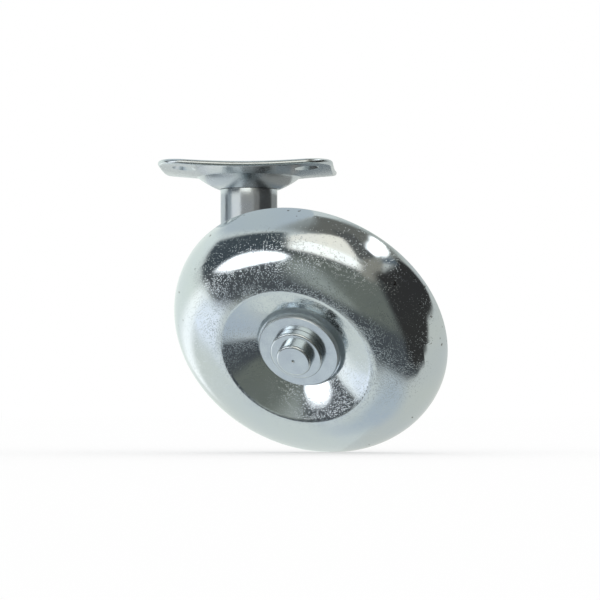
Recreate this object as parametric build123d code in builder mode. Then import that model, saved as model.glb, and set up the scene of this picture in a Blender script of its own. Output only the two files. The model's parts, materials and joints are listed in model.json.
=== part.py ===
from build123d import *
from math import acos, asin, atan2, cos, degrees, radians, sin, sqrt, tan
import os

os.makedirs("parts", exist_ok=True)

# Plate castor with a dished steel wheel on a tilted axle.
# Origin: centre of the plate's screw pattern, level with the plate's top at the screw holes. +Z is up.

# Mounting plate
plate_size = 46.8
plate_thickness = 1.5
plate_corner_radius = 7.5
plate_edge_round = 0.7
blank_radius = 31.0
dish_sag = 0.85
bowl_mouth_radius = 14.1
bowl_sphere_radius = 22.6
bowl_floor_radius = 8.4
bowl_depth = 6.8
screw_spacing = 33.5
screw_hole_radius = 2.25
screw_sink_radius = 3.6
screw_sink_start = 0.4

# Kingpin and what keeps the stem on it
kingpin_radius = 4.5
kingpin_head_radius = 7.0
kingpin_head_height = 2.6
kingpin_head_turn = 65
kingpin_length = 41.5
kingpin_tail = 1.4
ring_thickness = 0.8
ring_outer_radius = 5.6
ring_groove_depth = 0.9
ring_opening = 70
retainer_radius = 5.8
retainer_thickness = 1.0

# Stem tube and its bushes
stem_radius = 7.75
stem_wall = 1.5
stem_end_height = 24.5
bush_flange = 0.6
upper_bush_length = 10.0
lower_bush_length = 10.0

# Where the wheel stands, with load_height measured from the floor to the plate's corners
load_height = 78.2
stem_heading = -19.1
axle_tilt = 35.1
trail = 23.9

# Wheel shell, measured along the axle from the plane of its widest ring
wheel_radius = 37.5
wheel_sheet = 1.5
wheel_crest_radius = 20.2
wheel_crest_height = 13.5
wheel_knuckle_radius = 11.2
wheel_skirt = 0.4
wheel_floor_height = 9.3
wheel_floor_radius = 11.4
wheel_crest_round = 2.2
dish_bulge = 0.15

# Hub
hub_flange_radius = 10.9
hub_flange_thickness = 1.4
hub_sleeve_radius = 7.6
hub_back_depth = 5.0
hub_bush_wall = 1.2
backing_radius = 11.0
backing_thickness = 2.0

# Axle and its fittings
axle_radius = 4.7
axle_end_height = 2.3
axle_end_round = 0.6
axle_mark_radius = 0.45
axle_mark_depth = 0.6
axle_rivet_radius = 6.6
axle_rivet_height = 1.9
collar_radius = 7.1
collar_thickness = 2.05
collar_edge_round = 0.5
spacer_radius = 7.2
axle_washer_radius = 9.0
axle_washer_thickness = 1.2

# Hood behind the wheel
hood_radius = 34.0
hood_depth = 13.0
hood_knuckle_radius = 9.0
hood_seat_radius = 9.6
hood_sheet = 1.5
hood_gap = 0.7

# Fits
running_fit = 0.05
axial_play = 0.1
small_chamfer = 0.3

# Levels of the plate's corners and of the floor
corner_z = dish_sag
floor_z = corner_z - load_height

# The swivel axis is vertical, and the whole lower half stands turned about it by stem_heading.
along_roll = Vector(cos(radians(stem_heading)), sin(radians(stem_heading)), 0)
outward = Vector(sin(radians(stem_heading)), -cos(radians(stem_heading)), 0)
axle_direction = outward * cos(radians(axle_tilt)) - Vector(0, 0, 1) * sin(radians(axle_tilt))

# The wheel's rounded knuckle touches the floor right under the swivel axis, seen along the roll.
knuckle_middle = wheel_radius - wheel_knuckle_radius
wheel_setback = knuckle_middle * sin(radians(axle_tilt))
wheel_rise = knuckle_middle * cos(radians(axle_tilt)) + wheel_knuckle_radius
wheel_centre = along_roll * trail + outward * wheel_setback + Vector(0, 0, floor_z + wheel_rise)

# A section plane for turned parts on the axle: local X is the radius, local Y runs out along the axle.
axle_section = Plane(
    origin=wheel_centre,
    x_dir=along_roll,
    z_dir=along_roll.cross(axle_direction),
)
axle_axis = Axis(wheel_centre, axle_direction)


def round_corner(section, radius, height, rounding):
    """Round the corner of a turned part's section that lies at a radius and a height along the axle."""
    corner = section.vertices().sort_by_distance((radius, height))[0]
    fillet(corner, rounding)


def crown_of(width, height, knuckle):
    """Radius of the crown arc and the knuckle's angle, for a pressed edge that turns up and then levels out."""
    crown = (width**2 - 2 * width * knuckle + height**2) / (2 * (height - knuckle))
    return crown, degrees(atan2(crown - height, width - knuckle))


# Mounting plate: the bowl and the slight dish around it are one pressed form, cut to a rounded square.
bowl_floor_z = corner_z - bowl_depth
bowl_centre_z = bowl_floor_z + sqrt(bowl_sphere_radius**2 - bowl_floor_radius**2)
bowl_inside = bowl_sphere_radius - plate_thickness
inside_share = bowl_inside / bowl_sphere_radius
seat_z = bowl_floor_z + plate_thickness
seat_radius = sqrt(bowl_inside**2 - (bowl_centre_z - seat_z) ** 2)
middle_radius = (bowl_floor_radius + bowl_mouth_radius) / 2
inner_mouth_radius = bowl_mouth_radius * inside_share
edge_middle = plate_size / 2
screw_face_z = -plate_thickness - screw_sink_start


def bowl_z(radius, sphere_radius):
    """Height of the bowl's round wall at a distance from the swivel axis."""
    return bowl_centre_z - sqrt(sphere_radius**2 - radius**2)


mouth_z = bowl_z(bowl_mouth_radius, bowl_sphere_radius)

with BuildPart() as mounting_plate:
    with BuildSketch(Plane.XZ):
        with BuildLine():
            Line((kingpin_radius, bowl_floor_z), (bowl_floor_radius, bowl_floor_z))
            ThreePointArc(
                (bowl_floor_radius, bowl_floor_z),
                (middle_radius, bowl_z(middle_radius, bowl_sphere_radius)),
                (bowl_mouth_radius, mouth_z),
            )
            ThreePointArc(
                (bowl_mouth_radius, mouth_z),
                (edge_middle, -plate_thickness),
                (blank_radius, corner_z - plate_thickness),
            )
            Line((blank_radius, corner_z - plate_thickness), (blank_radius, corner_z))
            ThreePointArc(
                (blank_radius, corner_z),
                (edge_middle, 0),
                (bowl_mouth_radius, mouth_z + plate_thickness),
            )
            Line(
                (bowl_mouth_radius, mouth_z + plate_thickness),
                (inner_mouth_radius, bowl_z(inner_mouth_radius, bowl_inside)),
            )
            ThreePointArc(
                (inner_mouth_radius, bowl_z(inner_mouth_radius, bowl_inside)),
                (middle_radius * inside_share, bowl_z(middle_radius * inside_share, bowl_inside)),
                (seat_radius, seat_z),
            )
            Polyline((seat_radius, seat_z), (kingpin_radius, seat_z), (kingpin_radius, bowl_floor_z))
        make_face()
    revolve(axis=Axis.Z)
    with BuildSketch(Plane.XY.offset(bowl_floor_z)):
        RectangleRounded(plate_size, plate_size, plate_corner_radius)
    extrude(amount=bowl_depth, mode=Mode.INTERSECT)
    # The straight cut through the curved sheet leaves the only free-form edges, and they are the rim's.
    fillet(mounting_plate.edges().filter_by(GeomType.BSPLINE), plate_edge_round)
    with Locations(Plane.XY.offset(screw_face_z).rotated((180, 0, 0))):
        with GridLocations(screw_spacing, screw_spacing, 2, 2):
            CounterSinkHole(screw_hole_radius, screw_sink_radius, counter_sink_angle=90)
mounting_plate.part.label = "mounting_plate"

# Kingpin: its domed head sits in the bowl, and a groove near its lower end takes the ring.
kingpin_end_z = seat_z - kingpin_length
ring_z = kingpin_end_z + kingpin_tail
retainer_z = ring_z + ring_thickness
groove_radius = kingpin_radius - ring_groove_depth

with BuildPart() as kingpin:
    with BuildSketch(Plane.XZ):
        with BuildLine():
            head = EllipticalCenterArc(
                (0, seat_z), kingpin_head_radius, kingpin_head_height, arc_size=kingpin_head_turn
            )
            Polyline(
                head @ 1,
                (0, (head @ 1).Y),
                (0, kingpin_end_z),
                (kingpin_radius - small_chamfer, kingpin_end_z),
                (kingpin_radius, kingpin_end_z + small_chamfer),
                (kingpin_radius, ring_z),
                (groove_radius, ring_z),
                (groove_radius, retainer_z),
                (kingpin_radius, retainer_z),
                (kingpin_radius, seat_z),
                head @ 0,
            )
        make_face()
    revolve(axis=Axis.Z)
kingpin.part.label = "kingpin"

# The open ring snaps into the kingpin's groove and holds the washer under the lower bush.
half_opening = radians(ring_opening / 2)
throat_reach = 2 * ring_outer_radius
throat_x = throat_reach * cos(half_opening)
throat_y = throat_reach * sin(half_opening)

with BuildPart() as retaining_ring:
    with BuildSketch(Plane.XY.offset(ring_z)):
        Circle(ring_outer_radius)
        Circle(groove_radius, mode=Mode.SUBTRACT)
        with BuildLine():
            Polyline((0, 0), (throat_x, throat_y), (throat_x, -throat_y), close=True)
        make_face(mode=Mode.SUBTRACT)
    extrude(amount=ring_thickness)
retaining_ring.part.label = "retaining_ring"

with BuildPart() as retaining_washer:
    with BuildSketch(Plane.XY.offset(retainer_z)):
        Circle(retainer_radius)
        Circle(kingpin_radius, mode=Mode.SUBTRACT)
    extrude(amount=retainer_thickness)
retaining_washer.part.label = "retaining_washer"

# Bushes: the upper one's flange is the thrust face under the bowl.
bush_outer_radius = stem_radius - stem_wall
bush_bore_radius = kingpin_radius + running_fit
stem_top_z = bowl_floor_z - axial_play - bush_flange
stem_end_z = floor_z + stem_end_height
lower_bush_z = retainer_z + retainer_thickness + axial_play

with BuildPart() as upper_bush:
    with BuildSketch(Plane.XY.offset(stem_top_z)):
        Circle(stem_radius)
        Circle(bush_bore_radius, mode=Mode.SUBTRACT)
    extrude(amount=bush_flange)
    with BuildSketch(Plane.XY.offset(stem_top_z)):
        Circle(bush_outer_radius)
        Circle(bush_bore_radius, mode=Mode.SUBTRACT)
    extrude(amount=-upper_bush_length)
upper_bush.part.label = "upper_bush"

with BuildPart() as lower_bush:
    with BuildSketch(Plane.XY.offset(lower_bush_z)):
        Circle(bush_outer_radius)
        Circle(bush_bore_radius, mode=Mode.SUBTRACT)
    extrude(amount=lower_bush_length)
lower_bush.part.label = "lower_bush"

with BuildPart() as stem_tube:
    with BuildSketch(Plane.XY.offset(stem_end_z)):
        Circle(stem_radius)
        Circle(bush_outer_radius, mode=Mode.SUBTRACT)
    extrude(amount=stem_top_z - stem_end_z)
    chamfer(stem_tube.edges().filter_by(GeomType.CIRCLE).group_by(Axis.Z)[0], small_chamfer)
stem_tube.part.label = "stem_tube"

# Hood: a shallow pressed dome on the axle's line, with a flat seat for the axle and a hole for the stem.
hood_rim = -wheel_skirt - hood_gap
hood_knuckle_middle = hood_radius - hood_knuckle_radius
hood_crown, hood_turn = crown_of(hood_radius, hood_depth, hood_knuckle_radius)
hood_crown_middle = hood_rim - hood_depth + hood_crown
seat_turn = degrees(acos(hood_seat_radius / hood_crown))
hood_seat = hood_crown_middle - hood_crown * sin(radians(seat_turn))
hood_inside = hood_seat + hood_sheet
lining_crown = hood_crown - hood_sheet
lining_turn = degrees(asin((hood_crown_middle - hood_inside) / lining_crown))

with BuildPart() as wheel_hood:
    with BuildSketch(axle_section):
        with BuildLine():
            dome = CenterArc((0, hood_crown_middle), hood_crown, -seat_turn, seat_turn - hood_turn)
            edge = CenterArc((hood_knuckle_middle, hood_rim), hood_knuckle_radius, -hood_turn, hood_turn)
            lining_edge = CenterArc(
                (hood_knuckle_middle, hood_rim), hood_knuckle_radius - hood_sheet, -hood_turn, hood_turn
            )
            lining = CenterArc((0, hood_crown_middle), lining_crown, -lining_turn, lining_turn - hood_turn)
            Line(edge @ 1, lining_edge @ 1)
            Polyline(lining @ 0, (axle_radius, hood_inside), (axle_radius, hood_seat), dome @ 0)
        make_face()
    revolve(axis=axle_axis)
    with BuildSketch(Plane.XY.offset(stem_end_z)):
        Circle(stem_radius)
    extrude(amount=stem_top_z - stem_end_z, mode=Mode.SUBTRACT)
wheel_hood.part.label = "wheel_hood"

# Wheel shell: one pressing, a full round shoulder outside and a shallow dish down to the hub.
shoulder_crown, shoulder_turn = crown_of(
    wheel_radius - wheel_crest_radius, wheel_crest_height, wheel_knuckle_radius
)
shoulder_crown_middle = wheel_crest_height - shoulder_crown
dish_slope = atan2(wheel_crest_height - wheel_floor_height, wheel_crest_radius - wheel_floor_radius)
corner_shift = wheel_sheet * tan(dish_slope / 2)
floor_back = wheel_floor_height - wheel_sheet
dish_middle_radius = (wheel_crest_radius + wheel_floor_radius) / 2 - dish_bulge * sin(dish_slope)
dish_middle_height = (wheel_crest_height + wheel_floor_height) / 2 + dish_bulge * cos(dish_slope)
rim_inside = wheel_radius - wheel_sheet

with BuildPart() as wheel_shell:
    with BuildSketch(axle_section) as shell_outline:
        with BuildLine():
            knuckle = CenterArc((knuckle_middle, 0), wheel_knuckle_radius, 0, shoulder_turn)
            crown = CenterArc(
                (wheel_crest_radius, shoulder_crown_middle), shoulder_crown, shoulder_turn, 90 - shoulder_turn
            )
            ThreePointArc(
                crown @ 1,
                (dish_middle_radius, dish_middle_height),
                (wheel_floor_radius, wheel_floor_height),
            )
            Polyline(
                (wheel_floor_radius, wheel_floor_height),
                (hub_sleeve_radius, wheel_floor_height),
                (hub_sleeve_radius, floor_back),
                (wheel_floor_radius + corner_shift, floor_back),
            )
            crown_back = CenterArc(
                (wheel_crest_radius, shoulder_crown_middle),
                shoulder_crown - wheel_sheet,
                shoulder_turn,
                90 - shoulder_turn,
            )
            knuckle_back = CenterArc(
                (knuckle_middle, 0), wheel_knuckle_radius - wheel_sheet, 0, shoulder_turn
            )
            ThreePointArc(
                (wheel_floor_radius + corner_shift, floor_back),
                (dish_middle_radius + corner_shift, dish_middle_height - wheel_sheet),
                crown_back @ 1,
            )
            Polyline(
                knuckle_back @ 0,
                (rim_inside, -wheel_skirt),
                (wheel_radius, -wheel_skirt),
                knuckle @ 0,
            )
        make_face()
        round_corner(shell_outline, wheel_crest_radius, wheel_crest_height, wheel_crest_round)
        round_corner(shell_outline, wheel_floor_radius, wheel_floor_height, wheel_sheet / 2)
        round_corner(shell_outline, wheel_radius, -wheel_skirt, small_chamfer)
    revolve(axis=axle_axis)
wheel_shell.part.label = "wheel_shell"

# Hub: a turned flange in front of the shell, with a sleeve through it for the bush.
hub_front = wheel_floor_height + hub_flange_thickness
hub_bush_bore = axle_radius + running_fit
hub_bush_outside = hub_bush_bore + hub_bush_wall

with BuildPart() as hub:
    with BuildSketch(axle_section):
        with BuildLine():
            Polyline(
                (hub_bush_outside, -hub_back_depth),
                (hub_sleeve_radius - small_chamfer, -hub_back_depth),
                (hub_sleeve_radius, small_chamfer - hub_back_depth),
                (hub_sleeve_radius, wheel_floor_height),
                (hub_flange_radius, wheel_floor_height),
                (hub_flange_radius, hub_front - small_chamfer),
                (hub_flange_radius - small_chamfer, hub_front),
                (hub_bush_outside, hub_front),
                close=True,
            )
        make_face()
    revolve(axis=axle_axis)
hub.part.label = "hub"

with BuildPart() as hub_bush:
    with BuildSketch(axle_section):
        with BuildLine():
            Polyline(
                (hub_bush_bore, -hub_back_depth),
                (hub_bush_outside, -hub_back_depth),
                (hub_bush_outside, hub_front),
                (hub_bush_bore, hub_front),
                close=True,
            )
        make_face()
    revolve(axis=axle_axis)
hub_bush.part.label = "hub_bush"

# Backing washer: clamps the shell against the hub's flange from inside.
with BuildPart() as hub_backing:
    with BuildSketch(axle_section):
        with BuildLine():
            Polyline(
                (hub_sleeve_radius, floor_back - backing_thickness),
                (backing_radius - small_chamfer, floor_back - backing_thickness),
                (backing_radius, floor_back - backing_thickness + small_chamfer),
                (backing_radius, floor_back),
                (hub_sleeve_radius, floor_back),
                close=True,
            )
        make_face()
    revolve(axis=axle_axis)
hub_backing.part.label = "hub_backing"

# Axle: riveted over behind the hood, and marked by the lathe's centre on its outer end.
collar_back = hub_front + axial_play
collar_front = collar_back + collar_thickness
axle_end = collar_front + axle_end_height
axle_washer_back = hood_seat - axle_washer_thickness

with BuildPart() as wheel_axle:
    with BuildSketch(axle_section) as axle_outline:
        with BuildLine():
            rivet = EllipticalCenterArc(
                (0, axle_washer_back), axle_rivet_radius, axle_rivet_height, start_angle=-90, arc_size=90
            )
            Polyline(
                rivet @ 1,
                (axle_radius, axle_washer_back),
                (axle_radius, axle_end),
                (axle_mark_radius, axle_end),
                (0, axle_end - axle_mark_depth),
                rivet @ 0,
            )
        make_face()
        round_corner(axle_outline, axle_radius, axle_end, axle_end_round)
    revolve(axis=axle_axis)
wheel_axle.part.label = "wheel_axle"

with BuildPart() as axle_collar:
    with BuildSketch(axle_section) as collar_outline:
        with BuildLine():
            Polyline(
                (axle_radius, collar_back),
                (collar_radius, collar_back),
                (collar_radius, collar_front),
                (axle_radius, collar_front),
                close=True,
            )
        make_face()
        round_corner(collar_outline, collar_radius, collar_front, collar_edge_round)
    revolve(axis=axle_axis)
axle_collar.part.label = "axle_collar"

# Spacer: the axle's shoulder, between the hood and the hub.
with BuildPart() as axle_spacer:
    with BuildSketch(axle_section):
        with BuildLine():
            Polyline(
                (axle_radius, hood_inside),
                (spacer_radius, hood_inside),
                (spacer_radius, -hub_back_depth - axial_play),
                (axle_radius, -hub_back_depth - axial_play),
                close=True,
            )
        make_face()
    revolve(axis=axle_axis)
axle_spacer.part.label = "axle_spacer"

with BuildPart() as axle_washer:
    with BuildSketch(axle_section):
        with BuildLine():
            Polyline(
                (axle_radius, axle_washer_back),
                (axle_washer_radius - small_chamfer, axle_washer_back),
                (axle_washer_radius, axle_washer_back + small_chamfer),
                (axle_washer_radius, hood_seat),
                (axle_radius, hood_seat),
                close=True,
            )
        make_face()
    revolve(axis=axle_axis)
axle_washer.part.label = "axle_washer"

export_step(mounting_plate.part, "parts/mounting_plate.step")
export_step(kingpin.part, "parts/kingpin.step")
export_step(retaining_ring.part, "parts/retaining_ring.step")
export_step(retaining_washer.part, "parts/retaining_washer.step")
export_step(upper_bush.part, "parts/upper_bush.step")
export_step(lower_bush.part, "parts/lower_bush.step")
export_step(stem_tube.part, "parts/stem_tube.step")
export_step(wheel_hood.part, "parts/wheel_hood.step")
export_step(wheel_axle.part, "parts/wheel_axle.step")
export_step(axle_collar.part, "parts/axle_collar.step")
export_step(axle_spacer.part, "parts/axle_spacer.step")
export_step(axle_washer.part, "parts/axle_washer.step")
export_step(wheel_shell.part, "parts/wheel_shell.step")
export_step(hub.part, "parts/hub.step")
export_step(hub_bush.part, "parts/hub_bush.step")
export_step(hub_backing.part, "parts/hub_backing.step")

print("wheel centre", wheel_centre)
print("axle direction", axle_direction)
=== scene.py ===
# %% [markdown]
# # A plate castor with a dished steel wheel
# The castor is pressed, drawn and turned steel with a bright zinc plating, so nearly all of its
# look comes from what it mirrors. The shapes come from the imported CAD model. This script gives
# them their finishes, and then builds the surroundings that the plating reflects, because for a
# polished metal these are the picture.

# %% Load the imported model
import json
import math

import bpy
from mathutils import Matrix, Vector


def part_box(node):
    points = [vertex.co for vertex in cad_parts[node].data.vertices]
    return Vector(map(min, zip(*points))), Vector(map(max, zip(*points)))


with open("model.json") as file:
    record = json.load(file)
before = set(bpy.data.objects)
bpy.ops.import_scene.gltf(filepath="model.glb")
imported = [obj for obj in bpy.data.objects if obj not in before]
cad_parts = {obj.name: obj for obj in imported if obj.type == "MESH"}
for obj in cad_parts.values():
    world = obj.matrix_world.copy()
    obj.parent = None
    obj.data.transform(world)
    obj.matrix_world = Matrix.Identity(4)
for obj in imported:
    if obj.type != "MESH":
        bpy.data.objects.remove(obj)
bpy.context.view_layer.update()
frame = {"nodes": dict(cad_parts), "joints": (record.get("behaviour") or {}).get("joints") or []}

nodes = frame["nodes"]
print("nodes", sorted(nodes))

# %% [markdown]
# ## Places and lengths
# Blender works in metres, and a workshop drawing in millimetres, so one constant turns one into
# the other. The wheel's centre and its axle's direction are read from the joints, so that they
# follow the CAD.

# %% Millimetres, wheel centre and axle direction
MM = 0.001
joints = {joint["name"]: joint for joint in frame["joints"]}
wheel_centre = Vector(joints["wheel_spin"]["pos_m"])
axle_direction = Vector(joints["wheel_spin"]["axis"]).normalized()
floor_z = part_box("wheel_shell")[0].z
print("wheel centre in mm", [round(v / MM, 2) for v in wheel_centre])
print("floor level in mm", round(floor_z / MM, 2))

# %% [markdown]
# ## The camera comes before the finishes
# The photograph was taken from far away and from just above the floor. Its scale at the wheel, its
# distance and its horizon were measured from the plate's edges. A long lens gives the same weak
# perspective. The camera tilts up a little instead of shifting its lens, so that other views of
# the part stay centred.

# %% Camera
PHOTO_SIZE = 600
WHEEL_CENTRE_PX = (310.4, 329.2)
HORIZON_PX = 407.0
PX_PER_MM = 3.787
FOCAL_PX = 2900.0
CAMERA_TURN = 2.5  # degrees round the castor, from the plate's front side
SENSOR_MM = 36
CLIP_START = 50 * MM

turn = math.radians(CAMERA_TURN)
camera_right = Vector((math.cos(turn), math.sin(turn), 0))
camera_ahead = Vector((-math.sin(turn), math.cos(turn), 0))
up = Vector((0, 0, 1))

sideways = (WHEEL_CENTRE_PX[0] - PHOTO_SIZE / 2) / PX_PER_MM * MM
rise = (HORIZON_PX - WHEEL_CENTRE_PX[1]) / PX_PER_MM * MM
distance = FOCAL_PX / PX_PER_MM * MM

camera_data = bpy.data.cameras.new("camera")
camera_data.sensor_width = SENSOR_MM
camera_data.lens = SENSOR_MM * FOCAL_PX / PHOTO_SIZE
camera_data.clip_start = CLIP_START
camera = bpy.data.objects.new("camera", camera_data)
camera.location = wheel_centre - camera_right * sideways - up * rise - camera_ahead * distance
tilt_up = math.atan((HORIZON_PX - PHOTO_SIZE / 2) / FOCAL_PX)
camera.rotation_euler = (math.pi / 2 + tilt_up, 0, turn)
bpy.context.scene.collection.objects.link(camera)
bpy.context.scene.camera = camera
print("camera at mm", [round(v / MM) for v in camera.location], "lens", camera_data.lens)

# %% [markdown]
# ## Two helpers for every material
# Colours are written as the sRGB hex values that a paint chart or a picture gives, while Blender
# reckons in linear light. One function converts them. A second one adds a node, sets its inputs
# and links it, which keeps each material short enough to read.

# %% Colour and node helpers
def linear(hex_colour):
    """The linear colour of an sRGB hex value."""
    shown = [int(hex_colour[i : i + 2], 16) / 255 for i in (1, 3, 5)]
    # The numbers are those of the sRGB curve: a straight start, then a power.
    light = [c / 12.92 if c <= 0.04045 else ((c + 0.055) / 1.055) ** 2.4 for c in shown]
    return (*light, 1.0)


def add_node(tree, kind, settings=None, **inputs):
    """A new node: settings are its properties, and inputs are values or other nodes' outputs."""
    node = tree.nodes.new(kind)
    for name, value in (settings or {}).items():
        setattr(node, name, value)
    for name, value in inputs.items():
        key = int(name[1:]) if name[0] == "i" and name[1:].isdigit() else name.replace("_", " ")
        if isinstance(value, bpy.types.NodeSocket):
            tree.links.new(value, node.inputs[key])
        else:
            node.inputs[key].default_value = value
    return node


def new_finish(name):
    """An empty material and its node tree."""
    finish = bpy.data.materials.new(name)
    finish.use_nodes = True
    finish.node_tree.nodes.clear()
    return finish, finish.node_tree


# %% [markdown]
# ## Bright zinc plating on pressed steel
# Zinc from a plating bath copies the steel below it and adds a fine grain of its own. Its tone
# drifts a little between a neutral and a bluish grey, as the thickness of the plating does. Both
# pressed and turned parts use these tones, and both need to know how far a place is from the axle.

# %% Tones of zinc, and the distance from the axle
ZINC = "#CDD4D2"
ZINC_COOL = "#C3CCD6"


def from_axle(tree, place):
    """How far a place is from the axle's middle line."""
    offset = add_node(
        tree, "ShaderNodeVectorMath", {"operation": "SUBTRACT"}, i0=place, i1=wheel_centre
    ).outputs[0]
    across = add_node(
        tree, "ShaderNodeVectorMath", {"operation": "CROSS_PRODUCT"}, i0=offset, i1=axle_direction
    ).outputs[0]
    return add_node(
        tree, "ShaderNodeVectorMath", {"operation": "LENGTH"}, i0=across
    ).outputs["Value"]


# %% [markdown]
# ## Small dark marks
# Handling leaves nicks and specks of dirt, mostly near the wheel's rim, which takes the knocks. A
# cell pattern puts one mark in some of its cells, and noise shakes the cells' edges, so that no
# mark is a round dot.

# %% Nicks
NICK = "#66625C"
NICK_SPACING = 3 * MM
NICK_RAGGED = 0.8 * MM
NICK_SHIFT = 1 * MM
NICK_CORE, NICK_EDGE = 0.06, 0.13  # as shares of the spacing
NICKS_GROW_FROM, NICKS_GROW_TO = 31 * MM, 36 * MM
MORE_AT_RIM = 12


def nicks(tree, place, share):
    """A mask of small dark marks, one in some of a pattern's cells, and more near the rim."""
    ragged = add_node(
        tree, "ShaderNodeTexNoise", Vector=place, Scale=1 / NICK_RAGGED, Detail=1.0
    ).outputs["Color"]
    shaken = add_node(
        tree,
        "ShaderNodeVectorMath",
        {"operation": "MULTIPLY_ADD"},
        i0=ragged,
        i1=(NICK_SHIFT, NICK_SHIFT, NICK_SHIFT),
        i2=place,
    ).outputs[0]
    cells = add_node(tree, "ShaderNodeTexVoronoi", Vector=shaken, Scale=1 / NICK_SPACING)
    dot = add_node(
        tree,
        "ShaderNodeMapRange",
        Value=cells.outputs["Distance"],
        From_Min=NICK_CORE,
        From_Max=NICK_EDGE,
        To_Min=1.0,
        To_Max=0.0,
    ).outputs[0]
    likely = add_node(
        tree,
        "ShaderNodeMapRange",
        Value=from_axle(tree, place),
        From_Min=NICKS_GROW_FROM,
        From_Max=NICKS_GROW_TO,
        To_Min=share,
        To_Max=share * MORE_AT_RIM,
    ).outputs[0]
    picked = add_node(
        tree, "ShaderNodeMath", {"operation": "LESS_THAN"}, i0=cells.outputs["Color"], i1=likely
    ).outputs[0]
    return add_node(
        tree, "ShaderNodeMath", {"operation": "MULTIPLY"}, i0=dot, i1=picked
    ).outputs[0]


# %% [markdown]
# ## The sparkle of the grain
# The grain is what makes the dark reflections sparkle: tiny facets catch the lamps beside them. It
# is drawn as rounded bumps about a third of a millimetre wide, because real grain is too fine to
# show. The press stretched the sheet most at the crest round the dish, so the grain is densest
# there and thins out towards the rim.

# %% Crystals
PATCH_BARE, PATCH_FULL = 0.35, 0.6  # values of the noise where a patch is bare, and where full
LEAST_OF_MOST = 0.3  # what a bare patch keeps of the crystals
CRYSTAL_EDGE = 0.5  # a bump's half width, as a share of a cell
STRETCHED_RADIUS, EASY_RADIUS = 26 * MM, 37 * MM
EASY_SHARE = 0.3


def crystals(tree, place, patches, grain_mm, most):
    """Tiny rounded crystals in few cells of a fine pattern, and in most of a grainy patch."""
    cells = add_node(tree, "ShaderNodeTexVoronoi", Vector=place, Scale=1 / (grain_mm * MM))
    dome = add_node(
        tree,
        "ShaderNodeMapRange",
        {"interpolation_type": "SMOOTHSTEP"},
        Value=cells.outputs["Distance"],
        From_Max=CRYSTAL_EDGE,
        To_Min=1.0,
        To_Max=0.0,
    ).outputs[0]
    patch = add_node(
        tree,
        "ShaderNodeMapRange",
        Value=patches,
        From_Min=PATCH_BARE,
        From_Max=PATCH_FULL,
        To_Min=most * LEAST_OF_MOST,
        To_Max=most,
    ).outputs[0]
    stretched = add_node(
        tree,
        "ShaderNodeMapRange",
        Value=from_axle(tree, place),
        From_Min=STRETCHED_RADIUS,
        From_Max=EASY_RADIUS,
        To_Min=1.0,
        To_Max=EASY_SHARE,
    ).outputs[0]
    share = add_node(
        tree, "ShaderNodeMath", {"operation": "MULTIPLY"}, i0=patch, i1=stretched
    ).outputs[0]
    picked = add_node(
        tree, "ShaderNodeMath", {"operation": "LESS_THAN"}, i0=cells.outputs["Color"], i1=share
    ).outputs[0]
    return add_node(
        tree, "ShaderNodeMath", {"operation": "MULTIPLY"}, i0=dome, i1=picked
    ).outputs[0]


# %% [markdown]
# ## The plating of the pressings
# Under the grain lies a slow waviness, because a pressed sheet is never quite even, and that is
# what bends the edges of the reflections a little. The roughness differs from patch to patch. The
# wheel mirrors its room sharply, like sheet that was polished before plating. The plate's
# underside shows only soft shapes, so the plate and the hood are duller, like sheet that was left
# as it came from the press.

# %% Zinc plating
CLOUD = 14 * MM
PATCH = 4 * MM
PRESS_WAVE = 9 * MM
PRESS_WAVE_DEPTH = 0.02 * MM
SMOOTH_PATCH, ROUGH_PATCH = 0.7, 1.4  # times the roughness


def zinc_plating(name, grain_mm, grain_depth_mm, most_grain, roughness, nick_share):
    """Bright zinc plating. The sizes are the grain's width and its depth."""
    finish, tree = new_finish(name)
    place = add_node(tree, "ShaderNodeTexCoord").outputs["Object"]
    clouds = add_node(
        tree, "ShaderNodeTexNoise", Vector=place, Scale=1 / CLOUD, Detail=2.0
    ).outputs["Fac"]
    tone = add_node(
        tree,
        "ShaderNodeMix",
        {"data_type": "RGBA"},
        Factor=clouds,
        i6=linear(ZINC),
        i7=linear(ZINC_COOL),
    ).outputs[2]
    marked = add_node(
        tree,
        "ShaderNodeMix",
        {"data_type": "RGBA"},
        Factor=nicks(tree, place, nick_share),
        i6=tone,
        i7=linear(NICK),
    ).outputs[2]

    patches = add_node(
        tree, "ShaderNodeTexNoise", Vector=place, Scale=1 / PATCH, Detail=5.0
    ).outputs["Fac"]
    rough = add_node(
        tree,
        "ShaderNodeMapRange",
        Value=patches,
        To_Min=roughness * SMOOTH_PATCH,
        To_Max=roughness * ROUGH_PATCH,
    ).outputs[0]

    wave = add_node(
        tree, "ShaderNodeTexNoise", Vector=place, Scale=1 / PRESS_WAVE, Detail=1.0
    ).outputs["Fac"]
    slow = add_node(
        tree, "ShaderNodeBump", Height=wave, Distance=PRESS_WAVE_DEPTH
    ).outputs["Normal"]
    fine = add_node(
        tree,
        "ShaderNodeBump",
        Height=crystals(tree, place, patches, grain_mm, most_grain),
        Distance=grain_depth_mm * MM,
        Normal=slow,
    ).outputs["Normal"]
    metal = add_node(
        tree,
        "ShaderNodeBsdfPrincipled",
        Base_Color=marked,
        Metallic=1.0,
        Roughness=rough,
        Normal=fine,
    ).outputs[0]
    add_node(tree, "ShaderNodeOutputMaterial", Surface=metal)
    return finish


zinc_wheel = zinc_plating(
    "zinc_plated_pressed_wheel",
    grain_mm=0.3,
    grain_depth_mm=0.024,
    most_grain=0.9,
    roughness=0.09,
    nick_share=0.06,
)
zinc_sheet = zinc_plating(
    "zinc_plated_sheet",
    grain_mm=0.3,
    grain_depth_mm=0.01,
    most_grain=0.1,
    roughness=0.24,
    nick_share=0.03,
)
print("finishes", zinc_wheel.name, zinc_sheet.name)

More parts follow.
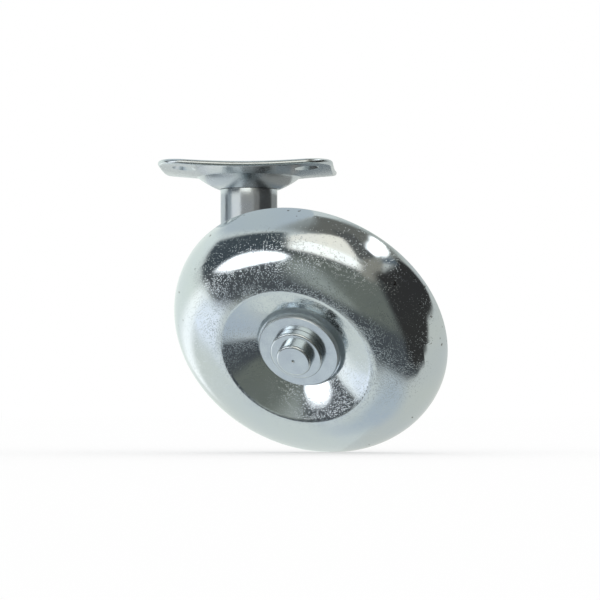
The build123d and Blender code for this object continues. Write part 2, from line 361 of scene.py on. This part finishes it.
# %% [markdown]
# ## Plating on drawn tube and on turned steel
# A drawn tube keeps fine lines along its length, and a turned part keeps rings round its axis.
# Plating softens both but does not hide them. Both are stretched noise: along the swivel axis for
# the tube, and round the axle for turned parts, where the pattern runs on the distance from the
# axle.

# %% The direction of the lines
LINE_WIDTH = 0.5 * MM
DRAWN_STRETCH = 0.02  # the lines along the tube are 50 times as long as wide


def line_places(tree, place, turned):
    """Places in which a pattern turns into rings round the axle, or into lines along the stem."""
    if turned:
        height = add_node(
            tree, "ShaderNodeVectorMath", {"operation": "DOT_PRODUCT"}, i0=place, i1=axle_direction
        ).outputs["Value"]
        rings = add_node(tree, "ShaderNodeCombineXYZ", X=from_axle(tree, place), Y=height)
        return rings.outputs[0]
    lengthwise = (1, 1, DRAWN_STRETCH)
    return add_node(
        tree, "ShaderNodeVectorMath", {"operation": "MULTIPLY"}, i0=place, i1=lengthwise
    ).outputs[0]


def line_bump(tree, lined_place, depth_mm):
    """A bump from the stretched pattern."""
    lines = add_node(
        tree, "ShaderNodeTexNoise", Vector=lined_place, Scale=1 / LINE_WIDTH, Detail=3.0
    ).outputs["Fac"]
    return add_node(tree, "ShaderNodeBump", Height=lines, Distance=depth_mm * MM).outputs["Normal"]


# %% [markdown]
# ## The dull rim of the hub's flange
# The narrow rim of the hub's flange was cut off coarsely and is much duller, so it shows as an
# even grey line. It is found by its distance from the axle. The kingpin and its washer stand
# further off than that, so they come out as dull as the rim.

# %% Duller rim
RIM_RADIUS = 10.9 * MM
DULL_FROM, DULL_TO = RIM_RADIUS - 0.3 * MM, RIM_RADIUS - 0.1 * MM
RIM_DULLER = 3.2  # times the roughness of the flange's face


def duller_rim(tree, place, rough):
    """The roughness, made larger on the flange's rim."""
    rim = add_node(
        tree,
        "ShaderNodeMapRange",
        Value=from_axle(tree, place),
        From_Min=DULL_FROM,
        From_Max=DULL_TO,
        To_Min=1.0,
        To_Max=RIM_DULLER,
    ).outputs[0]
    return add_node(tree, "ShaderNodeMath", {"operation": "MULTIPLY"}, i0=rough, i1=rim).outputs[0]


# %% [markdown]
# ## The plating of tube and turned parts
# Its tones drift faster than on the sheet, and a faint unevenness lies over the lines, which keeps
# the long reflections in the tube from being ruled straight.

# %% Drawn and turned zinc
SMALL_CLOUD = 3 * MM
SMALL_WAVE = 1.2 * MM
SMOOTH_SPOT, ROUGH_SPOT = 0.7, 1.5  # times the roughness


def lined_zinc(name, roughness, depth_mm, wave_mm, turned):
    """Zinc on drawn tube, or on steel turned about the axle."""
    finish, tree = new_finish(name)
    place = add_node(tree, "ShaderNodeTexCoord").outputs["Object"]
    clouds = add_node(
        tree, "ShaderNodeTexNoise", Vector=place, Scale=1 / SMALL_CLOUD, Detail=3.0
    ).outputs["Fac"]
    tone = add_node(
        tree,
        "ShaderNodeMix",
        {"data_type": "RGBA"},
        Factor=clouds,
        i6=linear(ZINC),
        i7=linear(ZINC_COOL),
    ).outputs[2]
    rough = add_node(
        tree,
        "ShaderNodeMapRange",
        Value=clouds,
        To_Min=roughness * SMOOTH_SPOT,
        To_Max=roughness * ROUGH_SPOT,
    ).outputs[0]
    if turned:
        rough = duller_rim(tree, place, rough)
    wave = add_node(
        tree, "ShaderNodeTexNoise", Vector=place, Scale=1 / SMALL_WAVE, Detail=2.0
    ).outputs["Fac"]
    lines = line_bump(tree, line_places(tree, place, turned), depth_mm)
    uneven = add_node(
        tree, "ShaderNodeBump", Height=wave, Distance=wave_mm * MM, Normal=lines
    ).outputs["Normal"]
    metal = add_node(
        tree,
        "ShaderNodeBsdfPrincipled",
        Base_Color=tone,
        Metallic=1.0,
        Roughness=rough,
        Normal=uneven,
    ).outputs[0]
    add_node(tree, "ShaderNodeOutputMaterial", Surface=metal)
    return finish


zinc_tube = lined_zinc(
    "zinc_plated_drawn_tube", roughness=0.22, depth_mm=0.006, wave_mm=0.02, turned=False
)
zinc_turned = lined_zinc(
    "zinc_plated_turned_steel", roughness=0.18, depth_mm=0.002, wave_mm=0.006, turned=True
)
print("finishes", zinc_tube.name, zinc_turned.name)

# %% [markdown]
# ## Bronze bushes and a spring steel ring
# Of these only the end of the hub's bush shows, as a thin ring round the collar. Sintered bronze
# is a pressed powder, so it is dull and pored, and an oil film darkens it in patches. The snap
# ring is hardened spring steel with a dark phosphate skin.

# %% Bronze and spring steel
BRONZE = "#A9825A"
BRONZE_OILED = "#7C5C3C"
SPRING_STEEL = "#5A5B5E"
SPRING_STEEL_WORN = "#8A8C8F"
OIL_PATCH = 3 * MM
PORE_DEPTH = 0.01 * MM
SMOOTH_PORE, ROUGH_PORE = 0.8, 1.3  # times the roughness


def pored_metal(name, light_colour, dark_colour, pore_mm, roughness):
    """A dull metal with pores and a patchy tone."""
    finish, tree = new_finish(name)
    place = add_node(tree, "ShaderNodeTexCoord").outputs["Object"]
    pores = add_node(
        tree, "ShaderNodeTexNoise", Vector=place, Scale=1 / (pore_mm * MM), Detail=4.0
    ).outputs["Fac"]
    patches = add_node(
        tree, "ShaderNodeTexNoise", Vector=place, Scale=1 / OIL_PATCH, Detail=3.0
    ).outputs["Fac"]
    tone = add_node(
        tree,
        "ShaderNodeMix",
        {"data_type": "RGBA"},
        Factor=patches,
        i6=linear(light_colour),
        i7=linear(dark_colour),
    ).outputs[2]
    rough = add_node(
        tree,
        "ShaderNodeMapRange",
        Value=pores,
        To_Min=roughness * SMOOTH_PORE,
        To_Max=roughness * ROUGH_PORE,
    ).outputs[0]
    pitted = add_node(tree, "ShaderNodeBump", Height=pores, Distance=PORE_DEPTH).outputs["Normal"]
    metal = add_node(
        tree,
        "ShaderNodeBsdfPrincipled",
        Base_Color=tone,
        Metallic=1.0,
        Roughness=rough,
        Normal=pitted,
    )
    add_node(tree, "ShaderNodeOutputMaterial", Surface=metal.outputs[0])
    return finish


sintered_bronze = pored_metal(
    "sintered_bronze", BRONZE, BRONZE_OILED, pore_mm=0.3, roughness=0.4
)
spring_steel = pored_metal(
    "phosphated_spring_steel", SPRING_STEEL, SPRING_STEEL_WORN, pore_mm=0.4, roughness=0.38
)
print("finishes", sintered_bronze.name, spring_steel.name)

# %% [markdown]
# ## Each piece gets its finish
# A CAD node keeps its mesh, and only its material slots change. The upper bush is a plated steel
# one, because its flange is the thrust face that shows as a thin ring under the bowl.

# %% Assign the finishes
finish_of = {
    "mounting_plate": zinc_sheet,
    "kingpin": zinc_turned,
    "retaining_ring": spring_steel,
    "retaining_washer": zinc_turned,
    "upper_bush": zinc_tube,
    "lower_bush": sintered_bronze,
    "stem_tube": zinc_tube,
    "wheel_hood": zinc_sheet,
    "wheel_axle": zinc_turned,
    "axle_collar": zinc_turned,
    "axle_spacer": zinc_turned,
    "axle_washer": zinc_turned,
    "wheel_shell": zinc_wheel,
    "hub": zinc_turned,
    "hub_bush": sintered_bronze,
    "hub_backing": zinc_turned,
}
for name, finish in finish_of.items():
    node = nodes[name]
    node.data.materials.clear()
    node.data.materials.append(finish)
print("finished", len(finish_of), "of", len(nodes), "nodes")

# %% [markdown]
# ## The surroundings that the plating mirrors
# The castor stood on a white table, with a pale wall behind it and a dim room with a window and a
# lamp behind the camera. A chart of the room is drawn in the world's nodes. Its two numbers are in
# degrees: the bearing, which is 0 towards the camera and grows to the left side of the picture,
# and the height above the horizon. Only mirrored rays see the chart. Everything else, the camera's
# view of the backdrop too, sees plain white, so the light stays soft and even.

# %% The chart's two numbers
DEGREES = 180 / math.pi
world = bpy.data.worlds.new("studio")
world.use_nodes = True
bpy.context.scene.world = world
sky = world.node_tree
sky.nodes.clear()

direction = add_node(sky, "ShaderNodeTexCoord").outputs["Generated"]
leftward, toward, upward = (
    add_node(
        sky, "ShaderNodeVectorMath", {"operation": "DOT_PRODUCT"}, i0=direction, i1=axis
    ).outputs["Value"]
    for axis in (-camera_right, -camera_ahead, up)
)
round_angle = add_node(sky, "ShaderNodeMath", {"operation": "ARCTAN2"}, i0=leftward, i1=toward)
rise_angle = add_node(sky, "ShaderNodeMath", {"operation": "ARCSINE"}, i0=upward)
bearing, height = (
    add_node(
        sky, "ShaderNodeMath", {"operation": "MULTIPLY"}, i0=angle.outputs[0], i1=DEGREES
    ).outputs[0]
    for angle in (round_angle, rise_angle)
)
chart = add_node(sky, "ShaderNodeCombineXYZ", X=bearing, Y=height, Z=1.0).outputs[0]
print("chart ready")

# %% [markdown]
# ## How a panel is drawn
# A panel is a flat shape on the chart with soft edges. Each edge is a line, and a place's distance
# from it is one dot product. All edges' masks multiplied leave only the inside. The softness is
# half the width of the blurred edge in degrees, and a strength above 1 makes a panel brighter than
# white paper. A group of panels gives each one's tone, strength, softness and corners.

# %% Panels on the chart
def panel(below, corners, tone, strength, softness):
    """A soft-edged panel over what lies below it. Corners (bearing, height) run anticlockwise."""
    mask = None
    for (x0, y0), (x1, y1) in zip(corners, corners[1:] + corners[:1]):
        length = math.hypot(x1 - x0, y1 - y0)
        inward = Vector(((y0 - y1) / length, (x1 - x0) / length, 0))
        inward.z = -(inward.x * x0 + inward.y * y0)
        inside = add_node(
            sky, "ShaderNodeVectorMath", {"operation": "DOT_PRODUCT"}, i0=chart, i1=inward
        ).outputs["Value"]
        edge = add_node(
            sky,
            "ShaderNodeMapRange",
            {"interpolation_type": "SMOOTHSTEP"},
            Value=inside,
            From_Min=-softness,
            From_Max=softness,
        ).outputs[0]
        mask = edge if mask is None else add_node(
            sky, "ShaderNodeMath", {"operation": "MULTIPLY"}, i0=mask, i1=edge
        ).outputs[0]
    colour = Vector(linear(tone)[:3]) * strength
    return add_node(
        sky, "ShaderNodeMix", {"data_type": "RGBA"}, Factor=mask, i6=below, i7=(*colour, 1.0)
    ).outputs[2]


def draw_panels(below, panels):
    """A group of panels, each drawn over the ones before it."""
    for tone, strength, softness, corners in panels.values():
        below = panel(below, corners, tone, strength, softness)
    print("panels", ", ".join(panels))
    return below


# %% [markdown]
# ## The table, the walls and the ceiling
# The base tone is the white table. These large panels are the quiet parts of the room: a table
# that turns greyer to the right, a wall on the left, a blue-grey ceiling, and its dim right half
# with a pale beam.

# %% Large panels
WHITE_TABLE = "#F1F5F0"
large_panels = {
    "right_table": ("#E1E3DE", 1.0, 14, [(-185, -95), (-20, -95), (-20, 40), (-185, 40)]),
    "table_below": ("#CDD7E0", 1.0, 9, [(-185, -95), (185, -95), (185, -74), (-185, -74)]),
    "left_wall": ("#F9FFF9", 1.08, 6, [(98, -16), (185, -16), (185, 36), (108, 36)]),
    "ceiling": ("#D2DBDF", 1.0, 6, [(34, 32), (185, 36), (185, 95), (34, 95)]),
    "half_dim_ceiling": (
        "#ADB1AD", 1.0, 13,
        [(52, 36), (46, 50), (36, 95), (-112, 95), (-100, 34)],
    ),
    "dim_ceiling": (
        "#7B7A74", 1.0, 14,
        [(34, 36), (24, 54), (0, 95), (-82, 95), (-98, 60), (-98, 34)],
    ),
    "ceiling_beam": ("#9B9A93", 1.0, 4, [(34, 64), (-36, 60), (-40, 65), (32, 71)]),
    "ceiling_gap": ("#686866", 1.0, 4, [(-10, 8), (-10, 58), (-40, 58), (-38, 26), (-20, 8)]),
}
seen = draw_panels(linear(WHITE_TABLE), large_panels)

# %% [markdown]
# ## The dark side of the room
# Behind and below the camera the room is dark. Zinc looks like metal because these dark shapes
# stand hard against the white ones, so their edges matter more than their tones.

# %% Dark panels
dark_panels = {
    "dark_side": (
        "#6A6D6A", 1.0, 4,
        [(98, 4), (40, 14), (-20, 6), (-82, 0), (-71, -60), (0, -62), (69, -58), (78, -38)],
    ),
    "left_room": (
        "#525A5F", 1.0, 5,
        [(36, -4), (93, -12), (97, 6), (103, 27), (70, 29), (36, 31)],
    ),
    "left_wedge": (
        "#5C5F62", 1.0, 3.5,
        [(34, -4), (40, -58), (69, -58), (77, -40), (86, -28), (96, -8)],
    ),
    "grey_floor": ("#7B7F77", 1.0, 5, [(34, -8), (-16, -12), (-24, -45), (-14, -57), (46, -57)]),
    "floor_streak": ("#B2B7B0", 1.0, 9, [(37, -14), (24, -20), (24, -52), (44, -50)]),
    "under_floor": (
        "#565A5E", 1.0, 4,
        [(52, -54), (-73, -48), (-79, -60), (-64, -70), (-24, -74.5), (8, -73.5), (50, -68)],
    ),
    "shelf": (
        "#A39F94", 1.0, 3,
        [(-4, -8), (-16, 11), (-38, 26), (-52, 30), (-34, 8), (-18, -14), (-8, -16)],
    ),
    "right_room": (
        "#3D3C3B", 1.0, 3.5,
        [
            (-16, -10), (-40, 14), (-62, 28), (-84, 38),
            (-100, 32), (-111, 16), (-109, 8), (-80, -12),
        ],
    ),
    "shelf_end": ("#64707A", 1.0, 3, [(-40, 21), (-50, 31), (-76, 37), (-74, 31)]),
    "right_wedge": (
        "#3D3C3B", 1.0, 5,
        [(-18, -6), (-30, 4), (-84, 4), (-72, -60), (-42, -60), (-22, -36)],
    ),
}
seen = draw_panels(seen, dark_panels)

# %% [markdown]
# ## The lamps and the window
# These are the highlights. They are brighter than white, so that they stay white in a rough or
# tilted spot and make the plating's grain sparkle where they stand beside a dark panel.

# %% Bright panels
bright_panels = {
    "window": (
        "#FFF8EB", 1.3, 3,
        [(34, 1), (34, 22), (22, 32), (2, 42), (-14, 42), (-12, 12), (-6, -8), (8, -6)],
    ),
    "window_sill": (
        "#FFFDF6", 1.7, 4,
        [(34, 1), (34, 8), (14, 16), (-10, 8), (-6, -8), (8, -6)],
    ),
    "ceiling_lamp": (
        "#FFFFFF", 2.6, 2.5,
        [(-37, 28), (-35, 36), (-46, 46), (-64, 53), (-82, 57), (-96, 56), (-96, 48), (-62, 35)],
    ),
    "side_lamp": (
        "#FFFFFF", 3.5, 2.5,
        [
            (80, -10), (70, -4), (58, -2), (42, -4),
            (36, -9), (40.5, -15.5), (52, -18.8), (68, -17.5),
        ],
    ),
    "table_glow": ("#FEFFFD", 1.5, 5, [(84, -29), (150, -28), (150, -16), (92, -14)]),
    "glow_streak": (
        "#F1F6FF", 1.4, 5,
        [(73, -50), (84, -56), (104, -36), (104, -26), (88, -26)],
    ),
    "facing_table": ("#E6EFFA", 1.0, 2.5, [(60, -66), (80, -66), (80, -58), (60, -58)]),
}
seen = draw_panels(seen, bright_panels)

# %% [markdown]
# ## Light for everything that does not mirror
# Rays that bounce off matt surfaces, and the camera's own rays, see an even white of strength 1.
# The chart is only worked out for mirrored rays, and the world is not sampled as a lamp, because a
# lamp sample would not know which of the two it meets.

# %% World output
light_path = add_node(sky, "ShaderNodeLightPath")
even_light = add_node(sky, "ShaderNodeBackground", Color=linear("#FFFFFF"), Strength=1.0)
mirrored_room = add_node(sky, "ShaderNodeBackground", Color=seen, Strength=1.0)
surroundings = add_node(
    sky,
    "ShaderNodeMixShader",
    i0=light_path.outputs["Is Glossy Ray"],
    i1=even_light.outputs[0],
    i2=mirrored_room.outputs[0],
)
add_node(sky, "ShaderNodeOutputWorld", Surface=surroundings.outputs[0])
world.cycles.sampling_method = "NONE"

# %% [markdown]
# ## A pale floor
# The floor is a large matt white sheet at the wheel's lowest point. It takes the castor's soft
# shadow. For the camera it also glows a little, so that the open floor is as white as the backdrop
# without more light on the castor. Mirrored rays pass it by, because the chart already holds the
# white table that they would meet.

# %% Floor
FLOOR_HALF = 3.0  # metres from the middle to each side
FLOOR_GLOW = 0.5  # the share of a plain white glow in what the camera sees


def stage_sheet(name, corners, finish):
    """A flat four-cornered sheet that belongs to the studio."""
    mesh = bpy.data.meshes.new(name)
    mesh.from_pydata(corners, [], [(0, 1, 2, 3)])
    mesh.materials.append(finish)
    sheet = bpy.data.objects.new(name, mesh)
    bpy.context.scene.collection.objects.link(sheet)
    return sheet


floor_finish, tree = new_finish("matt_white_floor")
matt = add_node(
    tree,
    "ShaderNodeBsdfPrincipled",
    Base_Color=linear("#FEFEFE"),
    Roughness=0.9,
    Specular_IOR_Level=0.0,
)
glow = add_node(tree, "ShaderNodeEmission", Color=linear("#FFFFFF"), Strength=1.0)
seen_by_camera = add_node(tree, "ShaderNodeLightPath").outputs["Is Camera Ray"]
glow_share = add_node(
    tree, "ShaderNodeMath", {"operation": "MULTIPLY"}, i0=seen_by_camera, i1=FLOOR_GLOW
).outputs[0]
lit_floor = add_node(
    tree, "ShaderNodeMixShader", i0=glow_share, i1=matt.outputs[0], i2=glow.outputs[0]
)
add_node(tree, "ShaderNodeOutputMaterial", Surface=lit_floor.outputs[0])

square = ((-1, -1), (1, -1), (1, 1), (-1, 1))
floor_corners = [(x * FLOOR_HALF, y * FLOOR_HALF, floor_z) for x, y in square]
floor = stage_sheet("floor", floor_corners, floor_finish)
floor.visible_glossy = False
print("floor of", 2 * FLOOR_HALF, "metres a side")

# %% [markdown]
# ## Cards that only the plating sees
# The chart is endlessly far away, so every part of the castor sees the same room. Near things
# differ: the plate's underside looks down on what lies behind the castor, and the stem looks at
# what stands round it. Studios set small grey cards there. These are glowing sheets that only
# mirrored rays meet.

# %% What a card is
def card(name, corners, tone):
    """A card of an even tone, which no camera, matt surface or shadow sees."""
    finish, tree = new_finish(name + "_tone")
    even = add_node(tree, "ShaderNodeEmission", Color=linear(tone), Strength=1.0)
    add_node(tree, "ShaderNodeOutputMaterial", Surface=even.outputs[0])
    sheet = stage_sheet(name, corners, finish)
    sheet.visible_camera = False
    sheet.visible_diffuse = False
    sheet.visible_transmission = False
    sheet.visible_shadow = False


# %% [markdown]
# Two cards lie flat behind the castor, just above the floor: a dark one behind the right half of
# the plate, and a grey one further off behind its left half. Their sides are millimetres from the
# stem, as the camera sees them: left, right, near and far.

# %% Cards under the plate
CARD_HEIGHT = 10 * MM
flat_cards = {
    "dark_card": ("#7C858A", -2, 46, 6, 420),
    "grey_card": ("#C4C8C8", -70, -2, 210, 520),
}


def floor_place(right_mm, ahead_mm):
    """A place on the cards' level, so far to the right of the stem and behind it."""
    spot = camera_right * right_mm * MM + camera_ahead * ahead_mm * MM
    return (spot.x, spot.y, floor_z + CARD_HEIGHT)


for name, (tone, left, right, near, far) in flat_cards.items():
    spots = ((left, near), (right, near), (right, far), (left, far))
    card(name, [floor_place(x, y) for x, y in spots], tone)
print("flat cards", ", ".join(flat_cards))

# %% [markdown]
# The stem's cards stand in a ring close round it and are as tall as its tube, each over its own
# range of bearings in degrees. From left to right they give the tube its bright and dark stripes.

# %% Cards round the stem
STEM_RING = 15 * MM
stem_cards = {
    (85, 126): "#DFE4E6",
    (73, 85): "#6E757A",
    (56, 73): "#A8B0B4",
    (24, 56): "#FFFFFF",
    (-16, 24): "#ABAAA8",
    (-33, -16): "#8A8886",
    (-80, -33): "#4A4A49",
    (-126, -80): "#9A9A97",
}
tube_low, tube_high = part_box("stem_tube")


def ring_place(card_bearing, z):
    """A place on the ring of cards, at a bearing from the stem in degrees."""
    angle = math.radians(card_bearing)
    spot = (-camera_right * math.sin(angle) - camera_ahead * math.cos(angle)) * STEM_RING
    return (spot.x, spot.y, z)


for number, ((first, last), tone) in enumerate(stem_cards.items(), start=1):
    lower = [ring_place(first, tube_low.z), ring_place(last, tube_low.z)]
    upper = [ring_place(last, tube_high.z), ring_place(first, tube_high.z)]
    card(f"stem_card_{number}", lower + upper, tone)
print("stem cards", len(stem_cards), "of height in mm", round((tube_high.z - tube_low.z) / MM, 1))

# %% [markdown]
# ## The last lines
# The Standard view shows a colour as it is written.

# %% Standard view and the end
bpy.context.scene.view_settings.view_transform = "Standard"
